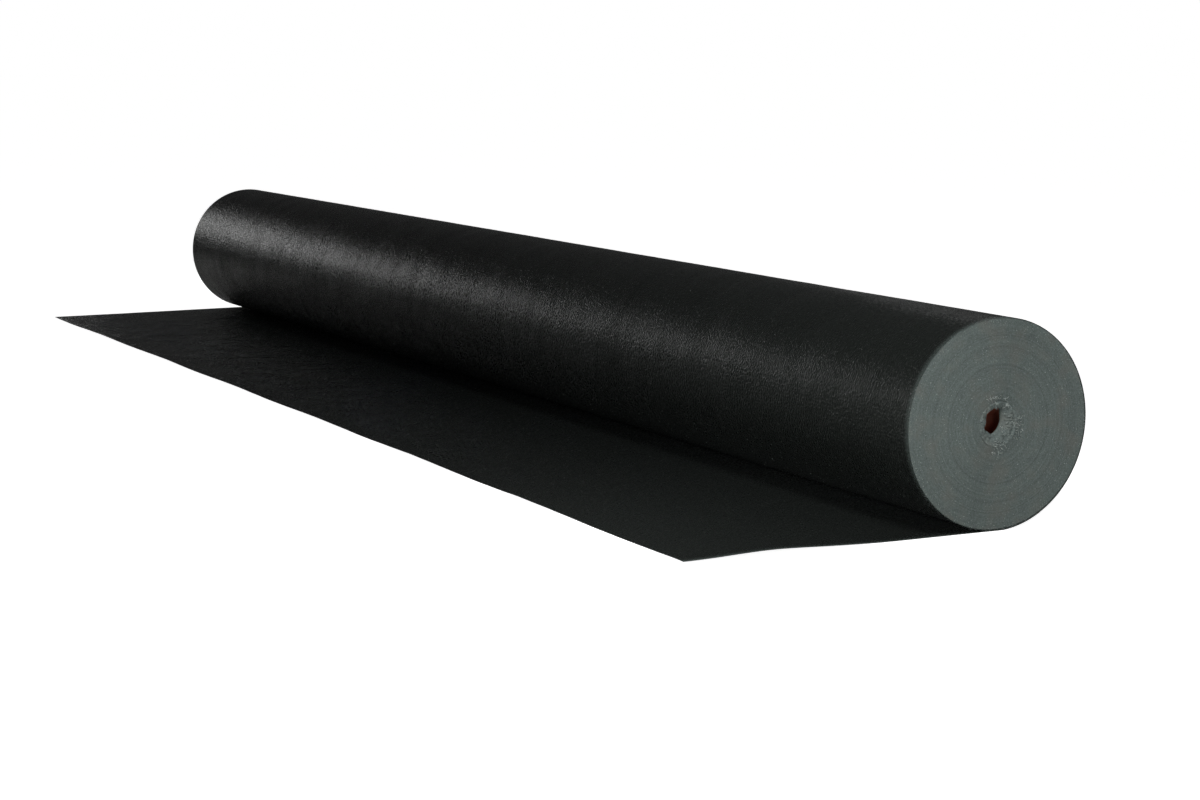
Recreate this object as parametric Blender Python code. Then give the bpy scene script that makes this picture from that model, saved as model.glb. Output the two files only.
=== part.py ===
"""A roll of black agricultural fleece, lying on the ground with the end of its web laid out.

Metres, +Z up. The origin is on the ground, below the middle of the roll's axis. The axis runs
along X, and the laid web reaches towards -Y.

A turn angle is measured about the roll's axis, from the line under it: up the back of the roll,
over the top and down the front, the way that the web winds inwards.
"""
import math

import bmesh
import bpy

# Driving sizes of the web and the roll
WEB_WIDTH = 3.200
WEB_THICKNESS = 0.0004
ROLL_DIAMETER = 0.298
TAIL_LENGTH = 0.492

# Clearances: between faces that only touch, and the air under the loose outer turn
FIT_GAP = 0.0003
LAYER_GAP = 0.0007

# Core tube, the tape at the web's start, and the first turns round them
CORE_BORE = 0.050
CORE_WALL = 0.0035
CORE_RECESS = 0.025
CORE_END_CHAMFER = 0.0008
TAPE_WIDTH = 0.048
TAPE_THICKNESS = 0.0002
INNER_TURNS_THICKNESS = 0.0028

# Crushed edges of the first turns, which stand past the tube's ends
CRUSH_MOUTH_DEPTH = 0.004
CRUSH_LEAST_REACH = 0.0008
CRUSH_LEAN_REACH = 0.0023
CRUSH_FOLD_HEIGHT = 0.0010
CRUSH_FOLD_COUNT = 9
NEAR_CRUSH_SIDE = math.radians(115.0)
FAR_CRUSH_SIDE = math.radians(250.0)

# End faces of the wound body: bands of turns that wound a little further in or out
BAND_STEP = 0.0012
BAND_RADIUS_SHARE = (0.10, 0.24, 0.37, 0.52, 0.66, 0.80, 0.93)
BAND_DEPTH_SHARE = (0.75, 0.20, 1.00, 0.35, 0.80, 0.10, 0.55, 0.25)

# Outer turn and lead-off
LEAD_OFF_ANGLE = math.radians(30.0)
OUTER_TURN_ANGLE = math.radians(380.0)
FLAT_HALF_WIDTH = 0.012

# Forms of the laid web
TAIL_SKEW = 0.020
FREE_EDGE_BOW = 0.006
FREE_EDGE_RIPPLE = 0.0016
FREE_EDGE_RIPPLE_LENGTH = 0.46
SIDE_LIFT = 0.0055
SIDE_LIFT_WIDTH = 0.30
FAR_CORNER_PULL = 0.045
FAR_PULL_WIDTH = 0.60
FAR_PULL_GROWTH = 1.5
NIP_FLAT_LENGTH = 0.050
LIFT_RISE_LENGTH = 0.160
SIDE_LIFT_END_SHARE = 0.7
RIPPLE_START_SHARE = 0.5

# Facets of the round pieces and of the laid web
TURN_STEPS = 120
BODY_STEPS = 96
CORE_STEPS = 48
TAPE_STEPS = 8
LENGTH_STEPS = 38
TAIL_STEPS = 13

# Sizes that follow from those above
HALF_WIDTH = WEB_WIDTH / 2
AXIS_HEIGHT = ROLL_DIAMETER / 2
PITCH = WEB_THICKNESS + LAYER_GAP
CORE_RADIUS = CORE_BORE / 2 + CORE_WALL
TAPE_RADIUS = CORE_RADIUS + FIT_GAP
INNER_TURNS_BORE = TAPE_RADIUS + TAPE_THICKNESS + FIT_GAP
INNER_TURNS_RADIUS = INNER_TURNS_BORE + INNER_TURNS_THICKNESS
BODY_BORE = INNER_TURNS_RADIUS + FIT_GAP
CORE_END = HALF_WIDTH - CORE_RECESS
SMOOTH_ANGLE = math.radians(35.0)


def web_radius(turn_angle):
    """Radius of the web's outer face after a turn angle; it touches the ground at no angle."""
    return AXIS_HEIGHT - PITCH * turn_angle / math.tau


def around(radius, turn_angle):
    """Y and Z, from the roll's axis, of a point at a radius and a turn angle."""
    return radius * math.sin(turn_angle), -radius * math.cos(turn_angle)


def blend(low, high, value):
    """Smooth step from 0 at low to 1 at high."""
    share = min(max((value - low) / (high - low), 0.0), 1.0)
    return share * share * (3 - 2 * share)


def clear_scene():
    """Remove what the scene holds."""
    for thing in list(bpy.data.objects):
        bpy.data.objects.remove(thing, do_unlink=True)


def make_material(name, colour, roughness):
    """Principled material with a colour and a roughness."""
    material = bpy.data.materials.new(name)
    material.use_nodes = True
    shader = material.node_tree.nodes["Principled BSDF"]
    shader.inputs["Base Color"].default_value = (*colour, 1.0)
    shader.inputs["Roughness"].default_value = roughness
    shader.inputs["Metallic"].default_value = 0.0
    return material


def make_axis(name, location, parent=None):
    """Empty that carries the pieces which move together, placed on their joint's axis."""
    axis = bpy.data.objects.new(name, None)
    axis.location = location
    axis.parent = parent
    bpy.context.collection.objects.link(axis)
    return axis


def add_piece(name, bm, material, parent=None):
    """Make a named object of a bmesh, with outward normals and smooth round faces."""
    bmesh.ops.recalc_face_normals(bm, faces=bm.faces)
    mesh = bpy.data.meshes.new(name)
    bm.to_mesh(mesh)
    bm.free()
    mesh.materials.append(material)
    mesh.shade_smooth()
    mesh.set_sharp_from_angle(angle=SMOOTH_ANGLE)
    piece = bpy.data.objects.new(name, mesh)
    piece.parent = parent
    bpy.context.collection.objects.link(piece)
    return piece


def turned_piece(name, profile, steps, material, parent):
    """Spin a closed profile of (x, radius) points once round the X axis."""
    bm = bmesh.new()
    points = [bm.verts.new((x, *around(radius, 0.0))) for x, radius in profile]
    edges = [bm.edges.new((points[i - 1], points[i])) for i in range(len(points))]
    bmesh.ops.spin(bm, geom=points + edges, cent=(0, 0, 0), axis=(1, 0, 0),
                   angle=math.tau, steps=steps, use_merge=True)
    return add_piece(name, bm, material, parent)


def ring_piece(name, rings, material, parent, closed):
    """Skin a row of rings with equal counts; a closed row joins its last ring to its first."""
    bm = bmesh.new()
    rows = [[bm.verts.new(point) for point in ring] for ring in rings]
    count = len(rows[0])
    for i in range(len(rows) if closed else len(rows) - 1):
        row, following = rows[i], rows[(i + 1) % len(rows)]
        for j in range(count):
            k = (j + 1) % count
            bm.faces.new((row[j], row[k], following[k], following[j]))
    if not closed:
        bm.faces.new(rows[0])
        bm.faces.new(rows[-1])
    return add_piece(name, bm, material, parent)


def make_core_tube(material, parent):
    """Cardboard tube with lightly chamfered ends, recessed inside the roll."""
    bore = CORE_BORE / 2
    half = [
        (CORE_END - CORE_END_CHAMFER, bore),
        (CORE_END, bore + CORE_END_CHAMFER),
        (CORE_END, CORE_RADIUS - CORE_END_CHAMFER),
        (CORE_END - CORE_END_CHAMFER, CORE_RADIUS),
    ]
    mirrored = [(-x, radius) for x, radius in reversed(half)]
    return turned_piece("core_tube", half + mirrored, CORE_STEPS, material, parent)


def make_core_start_tape(material, parent):
    """Strip of tape along the tube, bent to its round, that holds the web's first edge."""
    reach = TAPE_WIDTH / 2 / TAPE_RADIUS
    rings = []
    for i in range(TAPE_STEPS + 1):
        angle = reach * (2 * i / TAPE_STEPS - 1)
        inner = around(TAPE_RADIUS, angle)
        outer = around(TAPE_RADIUS + TAPE_THICKNESS, angle)
        end = CORE_END - CORE_END_CHAMFER
        rings.append([(-end, *inner), (end, *inner), (end, *outer), (-end, *outer)])
    return ring_piece("core_start_tape", rings, material, parent, closed=False)


def lean(angle, side):
    """How far the edge leans in, from 0 to 1; it leans in most at one side of the mouth."""
    return 0.5 + 0.5 * math.cos(angle - side)


def crush_radius(angle, side):
    """Inner radius of the crushed edge, with its folds."""
    fold = math.sin(CRUSH_FOLD_COUNT * angle + side)
    reach = (CRUSH_LEAN_REACH + CRUSH_FOLD_HEIGHT * fold) * lean(angle, side)
    return INNER_TURNS_BORE - CRUSH_LEAST_REACH - reach


def make_inner_turns(material, parent):
    """First turns on the tube, with their standing edges crushed inwards at both mouths."""
    lip_start = CORE_END + FIT_GAP
    lip_middle = (lip_start + HALF_WIDTH) / 2
    rings = []
    for i in range(CORE_STEPS):
        angle = math.tau * i / CORE_STEPS
        near = crush_radius(angle, NEAR_CRUSH_SIDE)
        far = crush_radius(angle, FAR_CRUSH_SIDE)
        near_mouth = HALF_WIDTH - CRUSH_MOUTH_DEPTH * lean(angle, NEAR_CRUSH_SIDE)
        far_mouth = HALF_WIDTH - CRUSH_MOUTH_DEPTH * lean(angle, FAR_CRUSH_SIDE)
        profile = [
            (HALF_WIDTH, INNER_TURNS_RADIUS),
            (HALF_WIDTH, INNER_TURNS_BORE),
            (near_mouth, (near + INNER_TURNS_BORE) / 2),
            (lip_middle, near),
            (lip_start, (near + INNER_TURNS_BORE) / 2),
            (lip_start, INNER_TURNS_BORE),
            (-lip_start, INNER_TURNS_BORE),
            (-lip_start, (far + INNER_TURNS_BORE) / 2),
            (-lip_middle, far),
            (-far_mouth, (far + INNER_TURNS_BORE) / 2),
            (-HALF_WIDTH, INNER_TURNS_BORE),
            (-HALF_WIDTH, INNER_TURNS_RADIUS),
        ]
        rings.append([(x, *around(radius, angle)) for x, radius in profile])
    return ring_piece("inner_turns", rings, material, parent, closed=True)


def body_radius():
    """Outer radius of the wound body, inside the deepest end of the outer turn."""
    deepest = web_radius(LEAD_OFF_ANGLE + OUTER_TURN_ANGLE) - WEB_THICKNESS
    return deepest - FIT_GAP


def make_wound_fleece(material, parent):
    """Body of the roll, whose end faces step in and out by bands of turns."""
    span = body_radius() - BODY_BORE
    radii = [BODY_BORE]
    radii += [BODY_BORE + span * share for share in BAND_RADIUS_SHARE]
    radii += [BODY_BORE + span]
    end_face = []
    for i, depth_share in enumerate(BAND_DEPTH_SHARE):
        x = HALF_WIDTH - BAND_STEP * depth_share
        end_face += [(x, radii[i]), (x, radii[i + 1])]
    mirrored = [(-x, radius) for x, radius in reversed(end_face)]
    return turned_piece("wound_fleece", end_face + mirrored, BODY_STEPS, material, parent)


def web_section(outer_radius, turn_angle):
    """Four corners of the web's cross-section across its whole width."""
    outer = around(outer_radius, turn_angle)
    inner = around(outer_radius - WEB_THICKNESS, turn_angle)
    return [
        (-HALF_WIDTH, *inner),
        (HALF_WIDTH, *inner),
        (HALF_WIDTH, *outer),
        (-HALF_WIDTH, *outer),
    ]


def make_outer_turn(material, parent):
    """Outermost turn: one unbroken spiral that passes under its own start."""
    start = LEAD_OFF_ANGLE + FIT_GAP / AXIS_HEIGHT
    steps = round(TURN_STEPS * OUTER_TURN_ANGLE / math.tau)
    angles = [start + OUTER_TURN_ANGLE * i / steps for i in range(steps + 1)]
    rings = [web_section(web_radius(angle), angle) for angle in angles]
    gaps = []
    for angle in angles:
        if angle >= start + math.tau:
            outer_lap = web_radius(angle - math.tau) - WEB_THICKNESS
            gaps.append(outer_lap - web_radius(angle))
    print("outer_turn: least gap to itself %.2f mm" % (min(gaps) * 1000))
    return ring_piece("outer_turn", rings, material, parent, closed=False)


def make_lead_off(material, parent):
    """Stretch of web that leaves the ground behind the flat and closes on the roll's round."""
    flat_angle = math.atan(FLAT_HALF_WIDTH / AXIS_HEIGHT)
    start = math.atan((FLAT_HALF_WIDTH + FIT_GAP) / AXIS_HEIGHT)
    stand_off = AXIS_HEIGHT / math.cos(flat_angle) - web_radius(flat_angle)
    steps = round(TURN_STEPS * LEAD_OFF_ANGLE / math.tau)
    rings = []
    for i in range(steps + 1):
        angle = start + (LEAD_OFF_ANGLE - start) * i / steps
        closing = (angle - flat_angle) / (LEAD_OFF_ANGLE - flat_angle)
        rings.append(web_section(web_radius(angle) + stand_off * (1 - closing), angle))
    return ring_piece("lead_off", rings, material, parent, closed=False)


def laid_point(length_share, tail_share):
    """Place on the underside of the laid web.

    length_share runs from -1 at the far side to 1 at the near side, and tail_share from 0 at the
    web's flat stretch under the roll to 1 at the free edge.
    """
    skew = TAIL_SKEW * (1 - length_share) / 2
    bow = FREE_EDGE_BOW * (1 - length_share ** 2)
    reach = TAIL_LENGTH + skew - bow
    y = FLAT_HALF_WIDTH - (reach + FLAT_HALF_WIDTH) * tail_share
    x = HALF_WIDTH * length_share
    from_far = HALF_WIDTH + x
    to_near = HALF_WIDTH - x
    pull = FAR_CORNER_PULL * tail_share ** FAR_PULL_GROWTH
    x += pull * (1 - blend(0.0, FAR_PULL_WIDTH, from_far))
    off_nip = blend(NIP_FLAT_LENGTH, NIP_FLAT_LENGTH + LIFT_RISE_LENGTH, -y)
    side_hump = off_nip * (1 - blend(SIDE_LIFT_END_SHARE, 1.0, tail_share))
    z = SIDE_LIFT * side_hump * (1 - blend(0.0, SIDE_LIFT_WIDTH, to_near))
    wave = 0.5 - 0.5 * math.cos(math.tau * x / FREE_EDGE_RIPPLE_LENGTH)
    z += FREE_EDGE_RIPPLE * wave * off_nip * blend(RIPPLE_START_SHARE, 1.0, tail_share)
    return x, y, z


def make_laid_web(material):
    """Tail of the web on the ground: a thin closed sheet with its lifted side and free edge."""
    bm = bmesh.new()
    sides = []
    for lift in (0.0, WEB_THICKNESS):
        rows = []
        for j in range(TAIL_STEPS + 1):
            row = []
            for i in range(LENGTH_STEPS + 1):
                x, y, z = laid_point(2 * i / LENGTH_STEPS - 1, j / TAIL_STEPS)
                row.append(bm.verts.new((x, y, z + lift)))
            rows.append(row)
        sides.append(rows)
        for j in range(TAIL_STEPS):
            for i in range(LENGTH_STEPS):
                bm.faces.new((rows[j][i], rows[j][i + 1], rows[j + 1][i + 1], rows[j + 1][i]))
    under, over = [edge_loop(rows) for rows in sides]
    for i in range(len(under)):
        bm.faces.new((under[i - 1], under[i], over[i], over[i - 1]))
    return add_piece("laid_web", bm, material)


def edge_loop(rows):
    """Points round the border of a grid, in order."""
    border = list(rows[0][:-1])
    border += [row[-1] for row in rows[:-1]]
    border += list(reversed(rows[-1][1:]))
    border += [row[0] for row in reversed(rows[1:])]
    return border


def main():
    """Build every piece of the roll."""
    clear_scene()
    cardboard = make_material("core_cardboard", (0.23, 0.10, 0.06), 0.85)
    tape = make_material("tape_film", (0.55, 0.45, 0.28), 0.45)
    fleece = make_material("black_spunbond", (0.010, 0.011, 0.010), 0.62)
    edges = make_material("wound_edges", (0.085, 0.100, 0.095), 0.90)
    travel_axis = make_axis("roll_travel_axis", (0, 0, AXIS_HEIGHT))
    turn_axis = make_axis("roll_turn_axis", (0, 0, 0), travel_axis)
    make_laid_web(fleece)
    make_lead_off(fleece, travel_axis)
    make_outer_turn(fleece, turn_axis)
    make_wound_fleece(edges, turn_axis)
    make_inner_turns(edges, turn_axis)
    make_core_start_tape(tape, turn_axis)
    make_core_tube(cardboard, turn_axis)


main()
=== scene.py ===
"""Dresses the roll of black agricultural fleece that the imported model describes.

Metres, +Z up, in the row frame: the roll's axis runs along X at the height of its radius, the
near end is at +X, and the web's free end is laid out towards -Y.

A turn angle is measured about the roll's axis, from the line under it: up the back of the roll,
over the top and down the front, the way that the web winds inwards.
"""

import logging
import math
from collections.abc import Callable
from dataclasses import dataclass, field
from enum import Enum

import bmesh
import bpy
from mathutils import Euler, Matrix, Vector, noise


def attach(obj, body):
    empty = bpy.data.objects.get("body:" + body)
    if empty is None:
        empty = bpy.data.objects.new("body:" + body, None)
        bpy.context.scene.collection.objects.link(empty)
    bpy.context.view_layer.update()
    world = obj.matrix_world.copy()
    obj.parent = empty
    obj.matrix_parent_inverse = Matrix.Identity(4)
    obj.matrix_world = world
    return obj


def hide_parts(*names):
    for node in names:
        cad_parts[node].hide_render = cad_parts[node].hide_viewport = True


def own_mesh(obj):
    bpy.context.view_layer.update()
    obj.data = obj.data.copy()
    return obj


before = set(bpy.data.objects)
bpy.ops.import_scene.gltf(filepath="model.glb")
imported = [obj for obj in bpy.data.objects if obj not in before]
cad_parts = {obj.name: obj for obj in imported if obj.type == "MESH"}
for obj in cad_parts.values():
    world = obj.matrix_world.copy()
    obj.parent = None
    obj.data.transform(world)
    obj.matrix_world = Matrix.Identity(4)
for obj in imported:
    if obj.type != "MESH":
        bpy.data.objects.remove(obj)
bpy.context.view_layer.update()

log = logging.getLogger("fleece_roll")

Tree = bpy.types.NodeTree
Node = bpy.types.Node
Socket = bpy.types.NodeSocket
Material = bpy.types.Material
Mesh = bpy.types.Mesh
Piece = bpy.types.Object
Place = tuple[float, float]
Point = tuple[float, float, float]
Colour = tuple[float, float, float, float]
# A point of a sheet's upper face, one of its under face, and their place on the flat web.
SheetPoint = tuple[Point, Point, Place]

# A Mix node's colour inputs have no names of their own.
FIRST_COLOUR, SECOND_COLOUR = 6, 7

# Settings that several nodes share.
COLOURS = {"data_type": "RGBA"}
SMOOTH = {"interpolation_type": "SMOOTHSTEP"}
MULTIPLY = {"operation": "MULTIPLY"}
MULTIPLY_ADD = {"operation": "MULTIPLY_ADD"}
ONE_WAY = {"noise_dimensions": "1D"}

FLAT_MAP = "flat_web"
TURN_NUMBER = "turn_number"
WHITE = "#ffffff"


class Body(Enum):
    """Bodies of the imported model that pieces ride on."""

    LAID_WEB = "laid_web"
    LEAD_OFF = "lead_off"
    ROLL = "roll"


class Slot(Enum):
    """Material slots of the record."""

    SPUNBOND = "black_spunbond"
    EDGES = "wound_edges"


class RollEnd(Enum):
    """The two ends of the roll, by the sign of X."""

    NEAR = 1
    FAR = -1


def linear_colour(hex_code: str) -> Colour:
    """Turn an sRGB hex value into the linear colour that a socket takes.

    Args:
        hex_code: Six hex digits after a hash sign.

    Returns:
        Linear red, green and blue, and an alpha of one.
    """
    channels = []
    for start in (1, 3, 5):
        share = int(hex_code[start:start + 2], 16) / 255
        if share <= 0.04045:
            channels.append(share / 12.92)
        else:
            channels.append(((share + 0.055) / 1.055) ** 2.4)
    return (channels[0], channels[1], channels[2], 1.0)


def feed(tree: Tree, node: Node, inputs: dict) -> None:
    """Give a node's inputs their links and values.

    Args:
        tree: Tree that holds the node.
        node: Node to feed.
        inputs: By the input's name or number: a socket, a node whose first output in use feeds
            it, an sRGB hex colour, or another value.
    """
    for key, value in inputs.items():
        if isinstance(value, Node):
            value = next(output for output in value.outputs if output.enabled)
        if isinstance(value, Socket):
            tree.links.new(value, node.inputs[key])
        elif isinstance(value, str) and value.startswith("#"):
            node.inputs[key].default_value = linear_colour(value)
        else:
            node.inputs[key].default_value = value


def add_node(tree: Tree, kind: str, settings: dict | None = None,
             inputs: dict | None = None) -> Node:
    """Add a node to a tree, with its settings, values and links.

    Args:
        tree: Shader or geometry tree.
        kind: The node's type name.
        settings: Properties of the node, by name.
        inputs: What its inputs take, as feed reads it.

    Returns:
        The new node.
    """
    node = tree.nodes.new(kind)
    for name, value in (settings or {}).items():
        setattr(node, name, value)
    feed(tree, node, inputs or {})
    return node


def start_material(name: str) -> tuple[Material, Tree, Node]:
    """Start a material.

    Args:
        name: Name of the material.

    Returns:
        The material, its node tree and its Principled BSDF.
    """
    material = bpy.data.materials.new(name)
    material.use_nodes = True
    return material, material.node_tree, material.node_tree.nodes["Principled BSDF"]


def smooth_share(low: float, high: float, value: float) -> float:
    """Smooth step from 0 at low to 1 at high."""
    share = min(max((value - low) / (high - low), 0.0), 1.0)
    return share * share * (3 - 2 * share)


def around(radius: float, turn_angle: float) -> Place:
    """Y and Z, from the roll's axis, of a point at a radius and a turn angle."""
    return radius * math.sin(turn_angle), -radius * math.cos(turn_angle)


def between(start: tuple[float, ...], end: tuple[float, ...], share: float) -> tuple[float, ...]:
    """Point at a share of the way from one point to another."""
    return tuple(low + (high - low) * share for low, high in zip(start, end))


@dataclass(frozen=True)
class RollSizes:
    """Sizes of the web and the roll that several pieces share, in metres."""

    web_width: float = 3.200
    web_thickness: float = 0.0004
    diameter: float = 0.298
    tail_length: float = 0.492
    fit_gap: float = 0.0003
    layer_gap: float = 0.0007
    core_bore: float = 0.050
    core_wall: float = 0.0035
    core_recess: float = 0.025
    tape_thickness: float = 0.0002
    inner_turns_thickness: float = 0.0028
    lead_off_angle: float = math.radians(30.0)
    outer_turn_angle: float = math.radians(380.0)
    flat_half_width: float = 0.012

    @property
    def half_width(self) -> float:
        """Half of the web's width, where both end faces lie."""
        return self.web_width / 2

    @property
    def axis_height(self) -> float:
        """Height of the roll's axis over the ground."""
        return self.diameter / 2

    @property
    def inner_turns_bore(self) -> float:
        """Inner radius of the first turns, over the tube and its tape."""
        tube_radius = self.core_bore / 2 + self.core_wall
        return tube_radius + 2 * self.fit_gap + self.tape_thickness

    @property
    def inner_turns_radius(self) -> float:
        """Outer radius of the first turns."""
        return self.inner_turns_bore + self.inner_turns_thickness

    @property
    def body_bore(self) -> float:
        """Inner radius of the wound body."""
        return self.inner_turns_radius + self.fit_gap

    @property
    def outer_turn_end(self) -> float:
        """Turn angle where the outer turn ends and the wound body starts."""
        return self.lead_off_angle + self.outer_turn_angle

    @property
    def body_radius(self) -> float:
        """Outer radius of the wound body, just inside the outer turn's deepest end."""
        return self.web_radius(self.outer_turn_end) - self.web_thickness - self.fit_gap

    def web_radius(self, turn_angle: float) -> float:
        """Radius of the web's outer face after a turn angle."""
        pitch = self.web_thickness + self.layer_gap
        return self.axis_height - pitch * turn_angle / math.tau

    def on_web(self, x: float, radius: float, turn_angle: float, along: float) -> SheetPoint:
        """Find the points of both faces of web that goes round the roll.

        Args:
            x: Place across the web.
            radius: Radius of the outer face.
            turn_angle: Turn angle of the points.
            along: Place along the flat web.

        Returns:
            The points and their place on the flat web.
        """
        outer = around(radius, turn_angle)
        inner = around(radius - self.web_thickness, turn_angle)
        return ((x, outer[0], outer[1] + self.axis_height),
                (x, inner[0], inner[1] + self.axis_height), (x, along))


def new_mesh(name: str, points: list[Point], faces: list[tuple[int, ...]]) -> Mesh:
    """Make a mesh.

    Args:
        name: Name of the mesh.
        points: Its points.
        faces: The numbers of each face's points.

    Returns:
        The new mesh.
    """
    mesh = bpy.data.meshes.new(name)
    mesh.from_pydata(points, [], faces)
    return mesh


def new_object(name: str, data: bpy.types.ID) -> bpy.types.Object:
    """Put a new object into the scene.

    Args:
        name: Name of the object.
        data: Its mesh, lamp or camera.

    Returns:
        The new object, at the origin.
    """
    holder = bpy.data.objects.new(name, data)
    bpy.context.collection.objects.link(holder)
    return holder


def finish_mesh(piece: Piece, sharp_angle: float = math.radians(40.0)) -> None:
    """Point a closed mesh's faces outwards and smooth its round parts.

    Args:
        piece: Object whose mesh is closed.
        sharp_angle: Edges bent further than this stay sharp.
    """
    bm = bmesh.new()
    bm.from_mesh(piece.data)
    bmesh.ops.recalc_face_normals(bm, faces=bm.faces)
    bm.to_mesh(piece.data)
    bm.free()
    piece.data.shade_smooth()
    piece.data.set_sharp_from_angle(angle=sharp_angle)


@dataclass(frozen=True)
class Finishes:
    """Materials of the soft pieces."""

    web: Material
    edges: Material
    fibre: Material


def thin_sheet(name: str, steps: tuple[int, int], place: Callable[[float, float], SheetPoint],
               finishes: Finishes) -> Piece:
    """Make a closed thin sheet of web from the places of its two faces.

    Args:
        name: Name of the piece.
        steps: Number of faces along and across the web.
        place: Gives the sheet's points at a share along and a share across it. Their place on
            the flat web, in metres, is kept as the UV map.
        finishes: Materials, of which the faces get the web's and the cut sides the edges'.

    Returns:
        The new object, at the origin.
    """
    rows, columns = steps[0] + 1, steps[1] + 1
    count = rows * columns
    grid = [place(i / steps[0], j / steps[1]) for i in range(rows) for j in range(columns)]
    points = [over for over, _, _ in grid] + [under for _, under, _ in grid]
    quads = []
    for first in (0, count):
        for i in range(steps[0]):
            for j in range(steps[1]):
                corner = first + i * columns + j
                quads.append((corner, corner + 1, corner + columns + 1, corner + columns))
    face_count = len(quads)
    border = [*range(columns - 1), *range(columns - 1, count - 1, columns),
              *range(count - 1, count - columns, -1), *range(count - columns, 0, -columns)]
    for i, corner in enumerate(border):
        last = border[i - 1]
        quads.append((last, corner, corner + count, last + count))
    mesh = new_mesh(name, points, quads)
    mesh.materials.append(finishes.web)
    mesh.materials.append(finishes.edges)
    for polygon in mesh.polygons[face_count:]:
        polygon.material_index = 1
    layer = mesh.uv_layers.new(name=FLAT_MAP)
    corners = []
    for loop in mesh.loops:
        corners.extend(grid[loop.vertex_index % count][2])
    layer.data.foreach_set("uv", corners)
    piece = new_object(name, mesh)
    finish_mesh(piece)
    return piece


def settle(piece: Piece, body: Body, slot: Slot, node: str = "") -> None:
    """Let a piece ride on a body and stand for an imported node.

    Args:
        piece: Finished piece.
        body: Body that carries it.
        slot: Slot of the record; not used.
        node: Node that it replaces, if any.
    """
    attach(piece, body.value)
    if node:
        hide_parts(node)


@dataclass
class GeometryRecipe:
    """A Geometry Nodes tree under construction, with its named inputs."""

    name: str
    tree: Tree = field(init=False)
    group_input: Node = field(init=False)
    values: dict[str, object] = field(default_factory=dict)

    def __post_init__(self) -> None:
        """Start the tree with a geometry input and output."""
        self.tree = bpy.data.node_groups.new(self.name, "GeometryNodeTree")
        for way in ("INPUT", "OUTPUT"):
            self.tree.interface.new_socket("Geometry", in_out=way,
                                           socket_type="NodeSocketGeometry")
        self.group_input = add_node(self.tree, "NodeGroupInput")

    def size(self, name: str, value: float | int) -> Socket:
        """Add a named input.

        Args:
            name: Name of the input.
            value: What it is set to when the tree runs.

        Returns:
            The socket that gives it.
        """
        kind = "NodeSocketInt" if isinstance(value, int) else "NodeSocketFloat"
        item = self.tree.interface.new_socket(name, in_out="INPUT", socket_type=kind)
        self.values[item.identifier] = value
        return self.group_input.outputs[name]

    def make(self, piece_name: str, geometry: Node, material: Material,
             ground: Mesh | None = None) -> Piece:
        """End the tree, run it, and keep what it makes as a plain mesh.

        Args:
            piece_name: Name of the piece.
            geometry: Node with the finished shape.
            material: Finish of every face.
            ground: Mesh that the tree starts from, or None for an empty one.

        Returns:
            The new object, at the origin.
        """
        real = add_node(self.tree, "GeometryNodeRealizeInstances", inputs={0: geometry})
        dressed = add_node(self.tree, "GeometryNodeSetMaterial",
                           inputs={"Geometry": real, "Material": material})
        add_node(self.tree, "NodeGroupOutput", inputs={0: dressed})
        carrier = new_object(piece_name + "_carrier",
                             ground or bpy.data.meshes.new(piece_name + "_start"))
        modifier = carrier.modifiers.new(self.name, "NODES")
        modifier.node_group = self.tree
        for identifier, value in self.values.items():
            modifier[identifier] = value
        graph = bpy.context.evaluated_depsgraph_get()
        mesh = bpy.data.meshes.new_from_object(carrier.evaluated_get(graph))
        carrier.modifiers.remove(modifier)
        bpy.data.objects.remove(carrier, do_unlink=True)
        mesh.name = piece_name
        return new_object(piece_name, mesh)


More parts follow.
